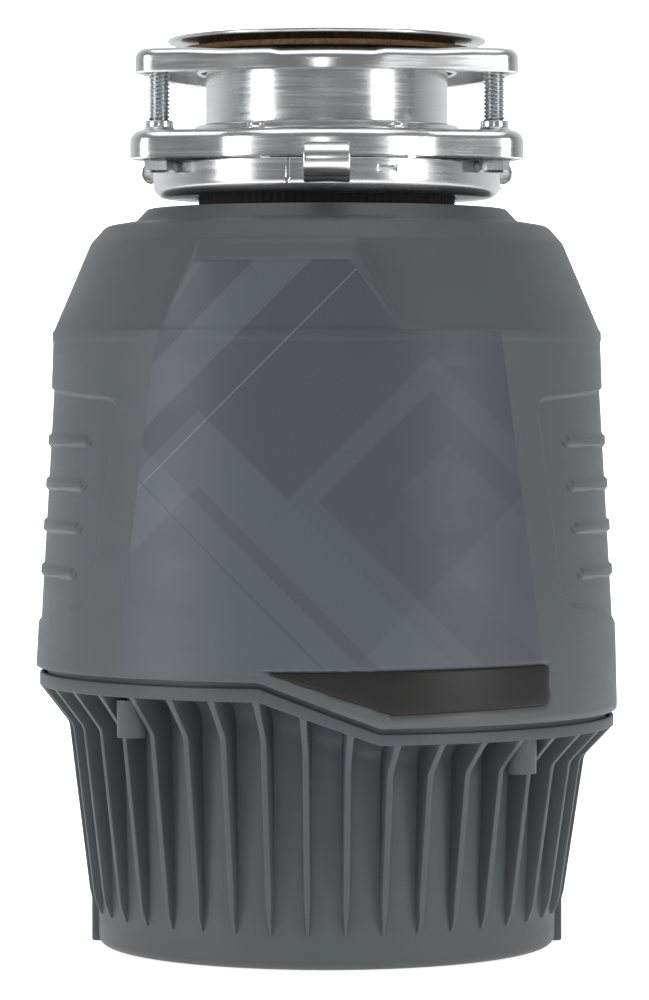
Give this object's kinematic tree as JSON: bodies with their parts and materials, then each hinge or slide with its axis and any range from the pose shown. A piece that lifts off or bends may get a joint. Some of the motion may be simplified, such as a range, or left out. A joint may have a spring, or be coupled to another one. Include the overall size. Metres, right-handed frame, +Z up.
{
  "type": "kitchen garbage disposal",
  "caption": "Under-sink food waste disposal with a polished twist-lock sink mount, grey moulded casing, ribbed lower can, swivel impellers and an induction motor.",
  "frame": {"origin": "centre of the base, on the motor axis, at the height of the lowest face", "axes": "+Z up along the motor axis to the sink, front towards -Y, outlet and dishwasher inlet towards +Y"},
  "size_m": [0.209, 0.212, 0.3245],
  "materials": {
    "polished_steel": "polished pressed steel",
    "zinc_steel": "zinc plated",
    "stainless": "drawn stainless steel",
    "shaft_steel": "ground",
    "cast_aluminium": "as cast",
    "lamination": "oxidised lamination edges",
    "copper_winding": "lacquered copper wire",
    "bronze": "sintered bronze",
    "grey_plastic": "satin moulded",
    "dark_plastic": "satin moulded, darker",
    "black_gloss": "satin black inlay",
    "black_plastic": "moulded",
    "red_plastic": "moulded",
    "black_rubber": "matt rubber",
    "fibre": "pressed fibre board",
    "foam": "open cell foam",
    "capacitor_can": "drawn can"
  },
  "bodies": {
    "unit": {"lower_shell": "dark_plastic", "upper_shell": "grey_plastic", "upper_end_bell": "cast_aluminium", "mounting_ring": "polished_steel", "grind_container": "stainless", "lower_end_frame": "cast_aluminium", "sink_flange": "polished_steel", "mounting_gasket": "black_rubber", "clamp_band": "zinc_steel", "stator_core": "lamination", "grind_ring": "stainless", "dishwasher_inlet": "black_plastic", "fiber_gasket": "fibre", "container_gasket": "black_rubber", "upper_winding": "copper_winding", "lower_winding": "copper_winding", "sound_insulation": "foam", "snap_ring": "zinc_steel", "upper_bearing": "bronze", "lower_bearing": "bronze", "shaft_seal": "black_rubber", "wiring_cover": "zinc_steel", "overload_protector": "black_plastic", "shell_screw_front_left": "zinc_steel", "shell_screw_front_right": "zinc_steel", "shell_screw_rear_right": "zinc_steel", "shell_screw_rear_left": "zinc_steel", "inlet_plug": "black_plastic", "run_capacitor": "capacitor_can", "front_band": "black_gloss", "through_bolt_1": "zinc_steel", "through_bolt_2": "zinc_steel", "through_bolt_3": "zinc_steel", "through_bolt_4": "zinc_steel", "wiring_cover_screw": "zinc_steel", "start_relay": "black_plastic"},
    "rotor": {"motor_shaft": "shaft_steel", "rotor_core": "lamination", "turntable": "stainless", "turntable_nut": "zinc_steel", "impeller_pin_left": "zinc_steel", "impeller_pin_right": "zinc_steel"},
    "left_impeller": {"impeller_left": "stainless"},
    "right_impeller": {"impeller_right": "stainless"},
    "lock_ring": {"lower_mounting_ring": "polished_steel"},
    "backup_plate": {"backup_flange": "polished_steel"},
    "screw_front_left": {"mounting_screw_front_left": "zinc_steel"},
    "screw_front_right": {"mounting_screw_front_right": "zinc_steel"},
    "screw_rear": {"mounting_screw_rear": "zinc_steel"},
    "guard": {"splash_guard": "black_rubber"},
    "button": {"reset_button": "red_plastic"}
  },
  "joints": [
    {"name": "rotor_spin", "type": "hinge", "parent": "unit", "child": "rotor", "pos_m": [0, 0, 0.09], "axis": [0, 0, 1], "continuous": true},
    {"name": "left_impeller_swing", "type": "hinge", "parent": "rotor", "child": "left_impeller", "pos_m": [-0.042, 0, 0.178], "axis": [0, 0, 1], "continuous": true},
    {"name": "right_impeller_swing", "type": "hinge", "parent": "rotor", "child": "right_impeller", "pos_m": [0.042, 0, 0.178], "axis": [0, 0, 1], "continuous": true},
    {"name": "lock_ring_turn", "type": "hinge", "parent": "unit", "child": "lock_ring", "pos_m": [0, 0, 0.273], "axis": [0, 0, 1], "range_deg": [-24, 0]},
    {"name": "backup_plate_travel", "type": "slide", "parent": "unit", "child": "backup_plate", "axis": [0, 0, 1], "range_m": [-0.01, 0]},
    {"name": "guard_lift", "type": "slide", "parent": "unit", "child": "guard", "axis": [0, 0, 1], "range_m": [0, 0.062]},
    {"name": "reset_button_travel", "type": "slide", "parent": "unit", "child": "button", "axis": [0, 0, -1], "range_m": [0, 0.003]},
    {"name": "screw_front_left_turn", "type": "hinge", "parent": "backup_plate", "child": "screw_front_left", "pos_m": [-0.05889, -0.034, 0.295], "axis": [0, 0, 1], "range_deg": [-2557, 0]},
    {"name": "screw_front_right_turn", "type": "hinge", "parent": "backup_plate", "child": "screw_front_right", "pos_m": [0.05889, -0.034, 0.295], "axis": [0, 0, 1], "range_deg": [-2557, 0]},
    {"name": "screw_rear_turn", "type": "hinge", "parent": "backup_plate", "child": "screw_rear", "pos_m": [0, 0.068, 0.295], "axis": [0, 0, 1], "range_deg": [-2557, 0]}
  ],
  "couplings": [
    {"joint": "screw_front_left_turn", "follows": "backup_plate_travel", "rad_per_m": 4453},
    {"joint": "screw_front_right_turn", "follows": "backup_plate_travel", "rad_per_m": 4453},
    {"joint": "screw_rear_turn", "follows": "backup_plate_travel", "rad_per_m": 4453}
  ]
}
